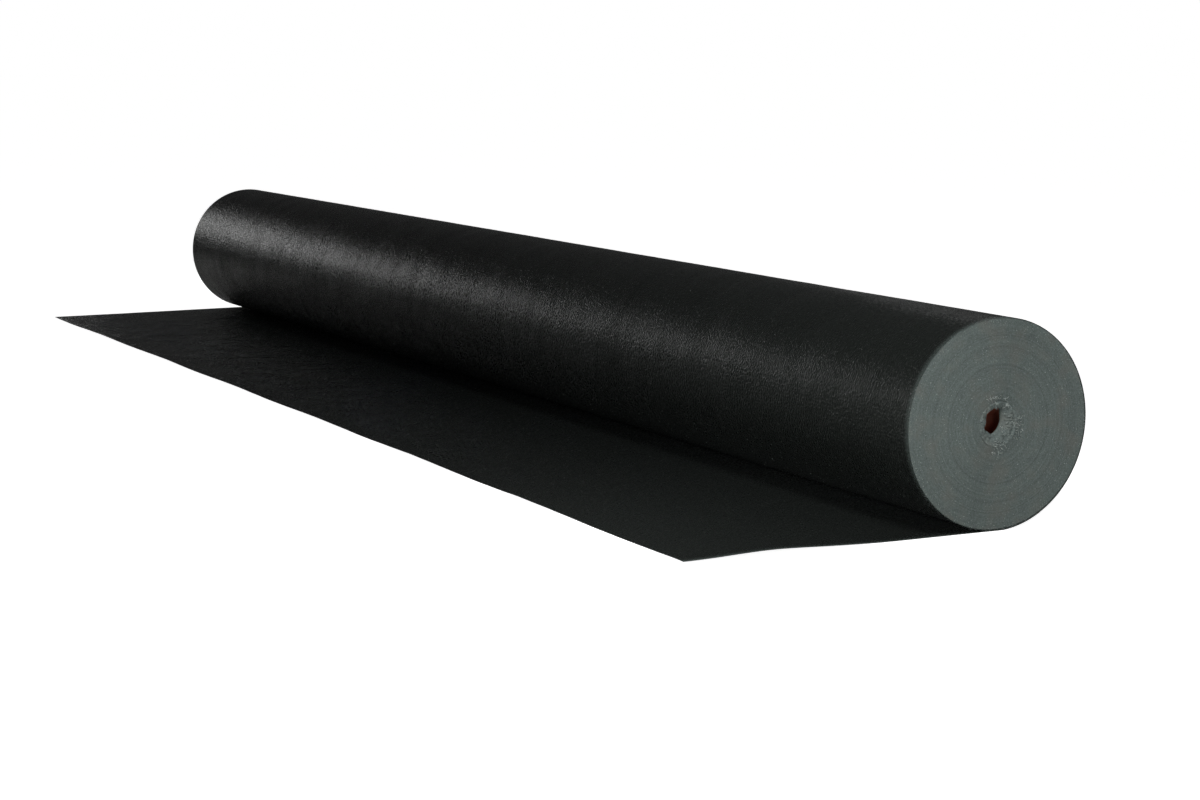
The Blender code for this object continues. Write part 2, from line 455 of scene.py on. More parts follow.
@dataclass(frozen=True)
class SpunbondFace:
    """Black polypropylene spunbond: endless filaments laid down and bonded by hot rollers.

    The eye gets a near-black satin. Most filaments lie along the web, so a low light draws one
    long soft band along the roll, crossed by fine hairlines, and the uneven lay breaks it into
    clouds. The pressed bond points and the bundles between them make it sparkle, and the fine
    fuzz on it gives a faint grey bloom where it is seen at a low angle.
    """

    sizes: RollSizes
    name: str = "thermally_bonded_black_spunbond"
    ground: str = "#080a09"
    filament: str = "#1d201e"
    # Pale band along both slit edges: the web's own fuzz, and partly painted sheen for the rim's
    # glow.
    fray_and_sheen: str = "#5a6461"
    fray_and_sheen_width: float = 0.014
    fray_and_sheen_share: float = 0.6
    bond_pitch: float = 0.0052  # real points lie 1.5 to 2 mm apart, too fine to show
    bond_irregularity: float = 0.6
    bond_core_share: float = 0.18
    bond_rim_share: float = 0.42
    grain_width: float = 0.0036  # real bundles are under 1 mm wide, too fine to show
    grain_length: float = 0.0050
    hair_width: float = 0.0070
    hair_length: float = 0.060
    hair_slant: float = math.radians(7.0)
    cloud_width: float = 0.050
    cloud_length: float = 0.055
    sag_width: float = 0.090
    sag_length: float = 0.150
    sag_height: float = 0.0040
    hair_height: float = 0.0003
    grain_height: float = 0.0012
    bond_height: float = 0.00030
    roughness: float = 0.25
    cloud_swing: float = -0.18
    grain_swing: float = -0.44
    hair_swing: float = -0.10
    bond_swing: float = -0.08
    gloss: float = 0.11
    gloss_shade: str = "#f9fff6"
    gloss_along_axis: float = 0.55
    bloom: float = 0.025
    bloom_roughness: float = 0.5
    bloom_shade: str = "#c6d0cc"

    def build(self) -> Material:
        """Make the material, which reads the web's own flat UV map in metres.

        Returns:
            The material.
        """
        material, tree, shader = start_material(self.name)
        web = add_node(tree, "ShaderNodeUVMap", {"uv_map": FLAT_MAP})
        clouds = self.lay(tree, web, (self.cloud_width, self.cloud_length), detail=3.0)
        hairs = self.lay(tree, web, (self.hair_width, self.hair_length), self.hair_slant)
        grain = self.lay(tree, web, (self.grain_width, self.grain_length))
        sags = self.lay(tree, web, (self.sag_width, self.sag_length), detail=1.0)
        bonds = self.bond_points(tree, web)
        colour = self.ground
        # The second layer is the pale edge band: fuzz, and partly painted sheen along the slit
        # edges.
        for share, shade in ((grain, self.filament),
                             (self.fray_and_sheen_edge(tree, web, grain), self.fray_and_sheen)):
            colour = add_node(tree, "ShaderNodeMix", COLOURS, {
                0: share, FIRST_COLOUR: colour, SECOND_COLOUR: shade})
        swings = self.cloud_swing + self.grain_swing + self.hair_swing
        polished = self.roughness - swings / 2
        for pattern, swing in ((clouds, self.cloud_swing), (grain, self.grain_swing),
                               (hairs, self.hair_swing), (bonds, self.bond_swing)):
            polished = add_node(tree, "ShaderNodeMath", MULTIPLY_ADD,
                                {0: pattern, 1: swing, 2: polished})
        normal = {}
        for height, depth in ((sags, self.sag_height), (hairs, self.hair_height),
                              (grain, self.grain_height), (bonds, self.bond_height)):
            normal["Normal"] = add_node(tree, "ShaderNodeBump", inputs={
                "Distance": depth, "Height": height, **normal})
        across = add_node(tree, "ShaderNodeTangent",
                          {"direction_type": "UV_MAP", "uv_map": FLAT_MAP})
        feed(tree, shader, {
            "Base Color": colour, "Roughness": polished, "Tangent": across, **normal,
            "Specular IOR Level": self.gloss, "Specular Tint": self.gloss_shade,
            "Anisotropic": self.gloss_along_axis, "Sheen Weight": self.bloom,
            "Sheen Roughness": self.bloom_roughness, "Sheen Tint": self.bloom_shade})
        return material

    def lay(self, tree: Tree, web: Node, size: Place, slant: float = 0.0,
            detail: float = 2.0) -> Node:
        """Uneven lay of the filaments, as noise of a real size on the flat web.

        Args:
            tree: The material's tree.
            web: The place on the flat web, in metres.
            size: Size of a feature across and along the web, in metres.
            slant: Turn of the features out of the web's length.
            detail: Octaves of the noise.

        Returns:
            The noise, from 0 to 1.
        """
        turned = add_node(tree, "ShaderNodeMapping",
                          inputs={"Vector": web, "Rotation": (0.0, 0.0, slant)})
        scaled = add_node(tree, "ShaderNodeMapping", inputs={
            "Vector": turned, "Scale": (1 / size[0], 1 / size[1], 1)})
        return add_node(tree, "ShaderNodeTexNoise", {"noise_dimensions": "2D"},
                        {"Vector": scaled, "Scale": 1.0, "Detail": detail})

    def bond_points(self, tree: Tree, web: Node) -> Node:
        """Small pressed points, 1 in a point and 0 between them."""
        cells = add_node(tree, "ShaderNodeTexVoronoi", {"voronoi_dimensions": "2D"}, {
            "Vector": web, "Scale": 1 / self.bond_pitch, "Randomness": self.bond_irregularity})
        return add_node(tree, "ShaderNodeMapRange", SMOOTH, {
            "Value": cells, "From Min": self.bond_core_share, "From Max": self.bond_rim_share,
            "To Min": 1.0, "To Max": 0.0})

    def fray_and_sheen_edge(self, tree: Tree, web: Node, grain: Node) -> Node:
        """Pale fuzz along both slit edges, partly painted sheen for the glow that light gives the
        rim, as a share that follows the grain.

        Args:
            tree: The material's tree.
            web: The place on the flat web, in metres.
            grain: Fine lay of the filaments.

        Returns:
            The share, 0 away from the edges.
        """
        across = add_node(tree, "ShaderNodeSeparateXYZ", inputs={0: web})
        off_middle = add_node(tree, "ShaderNodeMath", {"operation": "ABSOLUTE"}, {0: across})
        near_edge = add_node(tree, "ShaderNodeMapRange", SMOOTH, {
            "Value": off_middle, "From Min": self.sizes.half_width - self.fray_and_sheen_width,
            "From Max": self.sizes.half_width, "To Max": self.fray_and_sheen_share})
        return add_node(tree, "ShaderNodeMath", MULTIPLY, {0: near_edge, 1: grain})


@dataclass(frozen=True)
class SlitEdges:
    """Slit edges of wound spunbond, seen on end: cut filament ends in hundreds of layers.

    Cut ends scatter light, so the end face is a matt slate grey that is much paler than the
    web's own face. The eye gets a fine felt-like grain with light flecks of fibre, and faint
    rings where single layers and bands of winding differ in tone.
    """

    name: str = "slit_spunbond_edges"
    pale: str = "#727c79"
    deep: str = "#4f5755"
    dust: str = "#6b6963"
    fleck: str = "#97a29e"
    layer_tones: float = 0.45
    band_tones: float = 0.11
    smear_size: float = 0.030
    # Real filament ends are about 0.02 mm wide, too fine to show, so both of these are coarser.
    grain_size: float = 0.0019
    fleck_size: float = 0.0017
    layer_weight: float = 0.34
    band_weight: float = 0.30
    smear_weight: float = 0.26
    least_tone: float = 0.62
    most_tone: float = 1.28
    dust_share: float = 0.42
    least_dust: float = 0.48
    most_dust: float = 0.68
    least_fleck: float = 0.74
    most_fleck: float = 0.84
    rim_flecks: float = 0.07
    rim_turns: float = 16.0
    grain_height: float = 0.0004
    roughness: float = 0.92
    gloss: float = 0.12

    def build(self) -> Material:
        """Make the material, which reads the turn number that each layer carries.

        Returns:
            The material.
        """
        material, tree, shader = start_material(self.name)
        turn = add_node(tree, "ShaderNodeAttribute",
                        {"attribute_name": TURN_NUMBER}).outputs["Fac"]
        place = add_node(tree, "ShaderNodeTexCoord").outputs["Object"]
        smears, grain, specks = (
            add_node(tree, "ShaderNodeTexNoise", inputs={
                "Vector": place, "Scale": 1 / size, "Detail": detail})
            for size, detail in ((self.smear_size, 3.0), (self.grain_size, 2.0),
                                 (self.fleck_size, 0.0)))
        tone = grain
        for tones, weight in ((self.layer_tones, self.layer_weight),
                              (self.band_tones, self.band_weight)):
            rings = add_node(tree, "ShaderNodeTexNoise", ONE_WAY,
                             {"W": turn, "Scale": tones, "Detail": 1.0})
            tone = add_node(tree, "ShaderNodeMath", MULTIPLY_ADD, {0: rings, 1: weight, 2: tone})
        tone = add_node(tree, "ShaderNodeMath", MULTIPLY_ADD,
                        {0: smears, 1: self.smear_weight, 2: tone})
        paleness = add_node(tree, "ShaderNodeMapRange", inputs={
            "Value": tone, "From Min": self.least_tone, "From Max": self.most_tone})
        settled = add_node(tree, "ShaderNodeMapRange", inputs={
            "Value": smears, "From Min": self.least_dust, "From Max": self.most_dust,
            "To Max": self.dust_share})
        flecks = self.flecks(tree, specks, turn)
        colour = self.deep
        for share, shade in ((paleness, self.pale), (settled, self.dust), (flecks, self.fleck)):
            colour = add_node(tree, "ShaderNodeMix", COLOURS, {
                0: share, FIRST_COLOUR: colour, SECOND_COLOUR: shade})
        frayed = add_node(tree, "ShaderNodeBump", inputs={
            "Distance": self.grain_height, "Height": grain})
        feed(tree, shader, {"Base Color": colour, "Normal": frayed,
                            "Roughness": self.roughness, "Specular IOR Level": self.gloss})
        return material

    def flecks(self, tree: Tree, specks: Node, turn: Socket) -> Node:
        """Share of light fibre flecks, which lie closer together near the rim.

        Args:
            tree: The material's tree.
            specks: Noise of the flecks' size.
            turn: The turn number, 0 at the rim.

        Returns:
            The share, 1 in a fleck.
        """
        rim = add_node(tree, "ShaderNodeMapRange", SMOOTH, {
            "Value": turn, "From Max": self.rim_turns, "To Min": self.rim_flecks,
            "To Max": 0.0})
        crowded = add_node(tree, "ShaderNodeMath", inputs={0: specks, 1: rim})
        return add_node(tree, "ShaderNodeMapRange", inputs={
            "Value": crowded, "From Min": self.least_fleck, "From Max": self.most_fleck})


@dataclass(frozen=True)
class LooseFibre:
    """Drawn-out polypropylene filaments: fine, silky, and pale where the light catches them."""

    name: str = "drawn_out_polypropylene_fibre"
    shade: str = "#ccd4d0"
    shadow: str = "#6e7773"
    tone_size: float = 0.006
    roughness: float = 0.6

    def build(self) -> Material:
        """Make the material, with a slight change of tone from tuft to tuft.

        Returns:
            The material.
        """
        material, tree, shader = start_material(self.name)
        place = add_node(tree, "ShaderNodeTexCoord").outputs["Object"]
        tone = add_node(tree, "ShaderNodeTexNoise", inputs={
            "Vector": place, "Scale": 1 / self.tone_size, "Detail": 1.0})
        colour = add_node(tree, "ShaderNodeMix", COLOURS, {
            0: tone, FIRST_COLOUR: self.shadow, SECOND_COLOUR: self.shade})
        feed(tree, shader, {"Base Color": colour, "Roughness": self.roughness})
        return material


@dataclass(frozen=True)
class CoreBoard:
    """Core board: brown paper strips glued into a spiral tube.

    It is matt and fibrous, and the strips' butt joints run round it as dark spiral lines.
    """

    sizes: RollSizes
    name: str = "spiral_wound_core_board"
    board: str = "#c47c66"
    pulp_shadow: str = "#a5614d"
    joint: str = "#62382b"
    strip_width: float = 0.100
    joint_width: float = 0.0024
    pulp_size: float = 0.0025
    pulp_height: float = 0.0003
    roughness: float = 0.85
    gloss: float = 0.2

    def build(self) -> Material:
        """Make the material from Object coordinates, centred on the roll's axis.

        Returns:
            The material.
        """
        material, tree, shader = start_material(self.name)
        place = add_node(tree, "ShaderNodeTexCoord").outputs["Object"]
        centred = add_node(tree, "ShaderNodeMapping", inputs={
            "Vector": place, "Location": (0, 0, -self.sizes.axis_height)})
        parts = add_node(tree, "ShaderNodeSeparateXYZ", inputs={0: centred})
        angle = add_node(tree, "ShaderNodeMath", {"operation": "ARCTAN2"},
                         {0: parts.outputs["Y"], 1: parts.outputs["Z"]})
        turns = add_node(tree, "ShaderNodeMath", MULTIPLY, {0: angle, 1: 1 / math.tau})
        helix = add_node(tree, "ShaderNodeMath", MULTIPLY_ADD,
                         {0: parts.outputs["X"], 1: 1 / self.strip_width, 2: turns})
        to_joint = add_node(tree, "ShaderNodeMath", {"operation": "PINGPONG"},
                            {0: helix, 1: 0.5})
        line = add_node(tree, "ShaderNodeMapRange", inputs={
            "Value": to_joint, "From Max": self.joint_width / self.strip_width,
            "To Min": 1.0, "To Max": 0.0})
        pulp = add_node(tree, "ShaderNodeTexNoise", inputs={
            "Vector": place, "Scale": 1 / self.pulp_size, "Detail": 5.0})
        colour = self.pulp_shadow
        for share, shade in ((pulp, self.board), (line, self.joint)):
            colour = add_node(tree, "ShaderNodeMix", COLOURS, {
                0: share, FIRST_COLOUR: colour, SECOND_COLOUR: shade})
        rough = add_node(tree, "ShaderNodeBump", inputs={
            "Distance": self.pulp_height, "Height": pulp})
        feed(tree, shader, {"Base Color": colour, "Normal": rough,
                            "Roughness": self.roughness, "Specular IOR Level": self.gloss})
        return material


@dataclass(frozen=True)
class TapeFilm:
    """Oriented polypropylene packing film: buff, thin and glossy, with small trapped bubbles."""

    name: str = "buff_packing_film"
    shade: str = "#b89a66"
    bubble: str = "#a3854f"
    bubble_size: float = 0.004
    bubble_height: float = 0.0001
    bubble_strength: float = 0.3
    roughness: float = 0.3

    def build(self) -> Material:
        """Make the material from Object coordinates.

        Returns:
            The material.
        """
        material, tree, shader = start_material(self.name)
        place = add_node(tree, "ShaderNodeTexCoord").outputs["Object"]
        bubbles = add_node(tree, "ShaderNodeTexNoise", inputs={
            "Vector": place, "Scale": 1 / self.bubble_size, "Detail": 3.0})
        colour = add_node(tree, "ShaderNodeMix", COLOURS, {
            0: bubbles, FIRST_COLOUR: self.bubble, SECOND_COLOUR: self.shade})
        raised = add_node(tree, "ShaderNodeBump", inputs={
            "Strength": self.bubble_strength, "Distance": self.bubble_height,
            "Height": bubbles})
        feed(tree, shader, {"Base Color": colour, "Normal": raised,
                            "Roughness": self.roughness})
        return material


@dataclass(frozen=True)
class PaleGround:
    """Plain pale floor, which the camera sees white where nothing shades it."""

    name: str = "pale_ground"
    shade: str = "#e6e6e4"
    lift: float = 0.957

    def build(self) -> Material:
        """Make the floor's material: matt, with a plain glow that only camera rays meet.

        Returns:
            The material.
        """
        material, tree, _ = start_material(self.name)
        tree.nodes.clear()
        matt = add_node(tree, "ShaderNodeBsdfDiffuse", inputs={"Color": self.shade})
        glow = add_node(tree, "ShaderNodeEmission",
                        inputs={"Color": WHITE, "Strength": self.lift})
        lit = add_node(tree, "ShaderNodeAddShader", inputs={0: matt, 1: glow})
        path = add_node(tree, "ShaderNodeLightPath")
        seen = add_node(tree, "ShaderNodeMixShader",
                        inputs={0: path.outputs["Is Camera Ray"], 1: matt, 2: lit})
        add_node(tree, "ShaderNodeOutputMaterial", inputs={"Surface": seen})
        return material


@dataclass
class WoundBody:
    """Body of the roll: one ribbon wound into a spiral, with its slit edges at both ends.

    It carries the outer turn's spiral on from where that ends, under the roll.
    """

    sizes: RollSizes
    drawn_turns: int = 104  # the real body has about 290, too fine to show
    steps_per_turn: int = 96
    layer_share: float = 0.84
    band_drift: float = 0.0009
    turn_drift: float = 0.0005
    rim_drift: float = 0.0003
    rim_turns: float = 5.0
    band_tones: float = 0.11
    turn_tones: float = 1.7
    end_seed: float = 500.0
    piece: Piece = field(init=False)

    def build(self, finishes: Finishes) -> None:
        """Wind the ribbon by Geometry Nodes and keep it as a plain mesh.

        Args:
            finishes: Materials, of which the slit edges' is used.
        """
        sizes = self.sizes
        start_radius = sizes.web_radius(sizes.outer_turn_end)
        layer = (start_radius - sizes.body_bore) / self.drawn_turns * self.layer_share
        recipe = GeometryRecipe("wound_ribbon")
        tree = recipe.tree
        turns = recipe.size("Turns", float(self.drawn_turns))
        spiral = add_node(tree, "GeometryNodeCurveSpiral", inputs={
            "Resolution": recipe.size("Steps per turn", self.steps_per_turn),
            "Rotations": turns,
            "Start Radius": recipe.size("Outermost layer radius", start_radius - layer / 2),
            "End Radius": recipe.size("Innermost layer radius", sizes.body_bore + layer / 2),
            "Height": 0.0, "Reverse": True})
        level = add_node(tree, "GeometryNodeSetCurveNormal", {"mode": "Z_UP"}, {"Curve": spiral})
        along = add_node(tree, "GeometryNodeSplineParameter")
        number = add_node(tree, "ShaderNodeMath", MULTIPLY, {0: along, 1: turns})
        numbered = add_node(tree, "GeometryNodeStoreNamedAttribute", inputs={
            "Geometry": level, "Name": TURN_NUMBER, "Value": number})
        section = add_node(tree, "GeometryNodeCurvePrimitiveQuadrilateral", inputs={
            "Width": recipe.size("Layer thickness", layer),
            "Height": recipe.size("Web width", sizes.web_width)})
        ribbon = add_node(tree, "GeometryNodeCurveToMesh", inputs={
            "Curve": numbered, "Profile Curve": section, "Fill Caps": True})
        begun = add_node(tree, "GeometryNodeTransform", inputs={
            "Geometry": self.drift(recipe, ribbon),
            "Rotation": Euler((0, 0, sizes.outer_turn_end + sizes.fit_gap / start_radius))})
        laid = add_node(tree, "GeometryNodeTransform", inputs={
            "Geometry": begun, "Rotation": Euler((0, math.pi / 2, 0)),
            "Translation": (0, 0, sizes.axis_height)})
        self.piece = recipe.make("wound_fleece_ribbon", laid, finishes.edges)

    def drift(self, recipe: GeometryRecipe, ribbon: Node) -> Node:
        """Draw the ribbon's edges in by a little, band by band and turn by turn.

        Args:
            recipe: The tree under construction.
            ribbon: The wound ribbon, its axis along Z.

        Returns:
            The ribbon after its edges have moved.
        """
        tree = recipe.tree
        number = add_node(tree, "GeometryNodeInputNamedAttribute", inputs={"Name": TURN_NUMBER})
        place = add_node(tree, "GeometryNodeInputPosition")
        height = add_node(tree, "ShaderNodeSeparateXYZ", inputs={0: place}).outputs["Z"]
        side = add_node(tree, "ShaderNodeMath", {"operation": "SIGN"}, {0: height})
        seeded = add_node(tree, "ShaderNodeMath", MULTIPLY_ADD, {
            0: side, 1: recipe.size("End seed", self.end_seed), 2: number})
        inward = add_node(tree, "ShaderNodeMapRange", SMOOTH, {
            "Value": number, "From Max": recipe.size("Rim turns", self.rim_turns),
            "To Min": recipe.size("Rim drift", self.rim_drift), "To Max": 0.0})
        for name, depth, tones in (("Band drift", self.band_drift, self.band_tones),
                                   ("Turn drift", self.turn_drift, self.turn_tones)):
            uneven = add_node(tree, "ShaderNodeTexNoise", ONE_WAY,
                              {"W": seeded, "Scale": tones, "Detail": 1.0})
            inward = add_node(tree, "ShaderNodeMath", MULTIPLY_ADD,
                              {0: uneven, 1: recipe.size(name, depth), 2: inward})
        outward = add_node(tree, "ShaderNodeMath", MULTIPLY, {0: side, 1: -1.0})
        shift = add_node(tree, "ShaderNodeMath", MULTIPLY, {0: inward, 1: outward})
        offset = add_node(tree, "ShaderNodeCombineXYZ", inputs={"Z": shift})
        return add_node(tree, "GeometryNodeSetPosition",
                        inputs={"Geometry": ribbon, "Offset": offset})

    def dress(self) -> None:
        """Let the ribbon turn with the roll and stand for the wound body."""
        settle(self.piece, Body.ROLL, Slot.EDGES, "wound_fleece")


@dataclass
class OuterTurn:
    """Outermost turn: a loose spiral of web with shallow waves, and the slack under it."""

    sizes: RollSizes
    steps: tuple[int, int] = (200, 110)
    wave_depth: float = 0.00026
    wave_level: float = -0.00014
    wave_across: float = 0.085
    wave_along: float = 0.220
    fine_wave_share: float = 0.5
    fine_wave_scale: float = 2.3
    fine_wave_shift: Point = (7.0, 3.0, 1.0)
    piece: Piece = field(init=False)

    @property
    def start(self) -> float:
        """Turn angle where the lead-off ends and the outer turn starts."""
        return self.sizes.lead_off_angle + self.sizes.fit_gap / self.sizes.axis_height

    @property
    def flat_length(self) -> float:
        """Length of web in the outer turn."""
        middle = self.start + self.sizes.outer_turn_angle / 2
        return self.sizes.web_radius(middle) * self.sizes.outer_turn_angle

    def wave(self, x: float, along: float) -> float:
        """Height of the waves at a place on the web, in metres.

        Args:
            x: Place across the web.
            along: Place along the web.

        Returns:
            Height over the plain spiral.
        """
        place = Vector((x / self.wave_across, along / self.wave_along, 0.0))
        fine = noise.noise(place * self.fine_wave_scale + Vector(self.fine_wave_shift))
        height = noise.noise(place) + self.fine_wave_share * fine
        return self.wave_level + self.wave_depth * max(min(height, 1.0), -1.0)

    def place(self, turn_share: float, width_share: float) -> SheetPoint:
        """Find the points of both faces.

        Args:
            turn_share: Share along the turn, from the lead-off.
            width_share: Share across the web, from the far side.

        Returns:
            The points and their place on the flat web.
        """
        sizes = self.sizes
        angle = self.start + sizes.outer_turn_angle * turn_share
        along = self.flat_length * turn_share
        x = sizes.half_width * (2 * width_share - 1)
        return sizes.on_web(x, sizes.web_radius(angle) + self.wave(x, along), angle, along)

    def build(self, finishes: Finishes) -> None:
        """Make the turn's sheet."""
        self.piece = thin_sheet("outer_turn_web", self.steps, self.place, finishes)

    def dress(self) -> None:
        """Let the turn ride with the roll."""
        settle(self.piece, Body.ROLL, Slot.SPUNBOND, "outer_turn")
        self.flat_length


@dataclass
class LeadOff:
    """Stretch of web that leaves the ground behind the flat and closes on the roll's round."""

    sizes: RollSizes
    steps: tuple[int, int] = (20, 110)
    piece: Piece = field(init=False)

    @property
    def start(self) -> float:
        """Turn angle, about the roll's axis, where the stretch leaves the flat."""
        sizes = self.sizes
        return math.atan((sizes.flat_half_width + sizes.fit_gap) / sizes.axis_height)

    @property
    def flat_length(self) -> float:
        """Length of web in the lead-off."""
        return self.sizes.axis_height * (self.sizes.lead_off_angle - self.start)

    def place(self, turn_share: float, width_share: float) -> SheetPoint:
        """Find the points of both faces, whose stand-off closes towards the roll.

        Args:
            turn_share: Share along the stretch, from the flat.
            width_share: Share across the web, from the far side.

        Returns:
            The points and their place on the flat web.
        """
        sizes = self.sizes
        flat_angle = math.atan(sizes.flat_half_width / sizes.axis_height)
        stand_off = sizes.axis_height / math.cos(flat_angle) - sizes.web_radius(flat_angle)
        angle = self.start + (sizes.lead_off_angle - self.start) * turn_share
        closing = (angle - flat_angle) / (sizes.lead_off_angle - flat_angle)
        radius = sizes.web_radius(angle) + stand_off * (1 - closing)
        x = sizes.half_width * (2 * width_share - 1)
        return sizes.on_web(x, radius, angle, self.flat_length * (turn_share - 1))

    def build(self, finishes: Finishes) -> None:
        """Make the stretch's sheet."""
        self.piece = thin_sheet("lead_off_web", self.steps, self.place, finishes)

    def dress(self) -> None:
        """Let the stretch travel with the roll without turning."""
        settle(self.piece, Body.LEAD_OFF, Slot.SPUNBOND, "lead_off")
        self.flat_length


@dataclass
class LaidWeb:
    """Free end of the web, laid out on the ground in front of the roll."""

    sizes: RollSizes
    steps: tuple[int, int] = (44, 150)
    skew: float = 0.020
    free_edge_bow: float = 0.006
    ripple: float = 0.0016
    ripple_length: float = 0.46
    ripple_start_share: float = 0.5
    side_lift: float = 0.0052
    side_lift_width: float = 0.30
    side_lift_end_share: float = 0.7
    flat_length: float = 0.160  # what the roll lies on once it has taken the tail up
    lift_rise_length: float = 0.220
    far_corner_pull: float = 0.045
    far_pull_width: float = 0.60
    far_pull_growth: float = 1.5
    crease_height: float = 0.0007
    crease_size: float = 0.070
    crease_along_share: float = 0.6
    crease_seed: float = 4.0
    grain_offset: float = 0.2
    travel: float = 0.42
    piece: Piece = field(init=False)

    def reach(self, length_share: float) -> float:
        """Distance from under the roll's axis to the free edge, at a share along the roll."""
        skew = self.skew * (1 - length_share) / 2
        return self.sizes.tail_length + skew - self.free_edge_bow * (1 - length_share ** 2)

    def lie(self, x: float, y: float, tail_share: float) -> float:
        """Height of the web's underside over the ground.

        Args:
            x: Place along the roll.
            y: Place in front of the roll's axis, below zero.
            tail_share: From 0 at the flat stretch under the roll to 1 at the free edge.

        Returns:
            Height in metres: a lifted near side, ripples towards the free edge, and creases.
        """
        off_flat = smooth_share(self.flat_length, self.flat_length + self.lift_rise_length, -y)
        to_near = self.sizes.half_width - x
        lifted = 1 - smooth_share(self.side_lift_end_share, 1.0, tail_share)
        lifted *= 1 - smooth_share(0.0, self.side_lift_width, to_near)
        return off_flat * (self.side_lift * lifted + self.ripples(x, y, tail_share))

    def ripples(self, x: float, y: float, tail_share: float) -> float:
        """Height of the ripples and creases away from the flat.

        Args:
            x: Place along the roll.
            y: Place in front of the roll's axis, below zero.
            tail_share: From 0 at the flat stretch under the roll to 1 at the free edge.

        Returns:
            Height in metres.
        """
        wave = 0.5 - 0.5 * math.cos(math.tau * x / self.ripple_length)
        crease = noise.noise(Vector((x / self.crease_size,
                                     y / self.crease_size * self.crease_along_share,
                                     self.crease_seed)))
        return (self.ripple * wave * smooth_share(self.ripple_start_share, 1.0, tail_share)
                + self.crease_height * max(crease, 0.0))

    def place(self, tail_share: float, width_share: float) -> SheetPoint:
        """Find the points of both faces.

        Args:
            tail_share: From 0 at the flat stretch under the roll to 1 at the free edge.
            width_share: From 0 at the far side to 1 at the near side.

        Returns:
            The points and their place on the flat web.
        """
        sizes = self.sizes
        length_share = 2 * width_share - 1
        plain_x = sizes.half_width * length_share
        flat = sizes.flat_half_width
        y = flat - (self.reach(length_share) + flat) * tail_share
        pull = self.far_corner_pull * tail_share ** self.far_pull_growth
        x = plain_x + pull * (1 - smooth_share(0.0, self.far_pull_width,
                                               sizes.half_width + plain_x))
        z = self.lie(x, y, tail_share)
        return (x, y, z + sizes.web_thickness), (x, y, z), (plain_x, y - self.grain_offset)

    def build(self, finishes: Finishes) -> None:
        """Make the tail's sheet."""
        self.piece = thin_sheet("laid_web_sheet", self.steps, self.place, finishes)

    def dress(self) -> None:
        """Leave the sheet on the ground, with a mesh of its own."""
        settle(self.piece, Body.LAID_WEB, Slot.SPUNBOND, "laid_web")
        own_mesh(self.piece)


@dataclass(frozen=True)
class SqueezedMouth:
    """Mouth that the crushed first turns leave open, beside the roll's axis.

    It is an uneven ellipse, flattened at the side where the crushed turns bulge into it.
    """

    end: RollEnd
    half_width: float
    half_height: float
    centre_y: float
    centre_rise: float
    depth: float
    fold_height: float
    tilt: float = 0.0
    bulged_share: float = 1.0
    unevenness: float = 0.0
    kink_size: float = 0.6

    def edge(self, turn_angle: float) -> Place:
        """Find a point of the mouth's edge.

        Args:
            turn_angle: Turn angle of the point.

        Returns:
            Y and Z, from the roll's axis.
        """
        place = Vector((math.cos(turn_angle), math.sin(turn_angle), 0.0)) / self.kink_size
        uneven = 1 + self.unevenness * noise.noise(place)
        across = self.half_width * uneven * math.sin(turn_angle)
        up = -self.half_height * uneven * math.cos(turn_angle)
        if across > 0:
            across *= self.bulged_share
        return (self.centre_y + across * math.cos(self.tilt) + up * math.sin(self.tilt),
                self.centre_rise - across * math.sin(self.tilt) + up * math.cos(self.tilt))


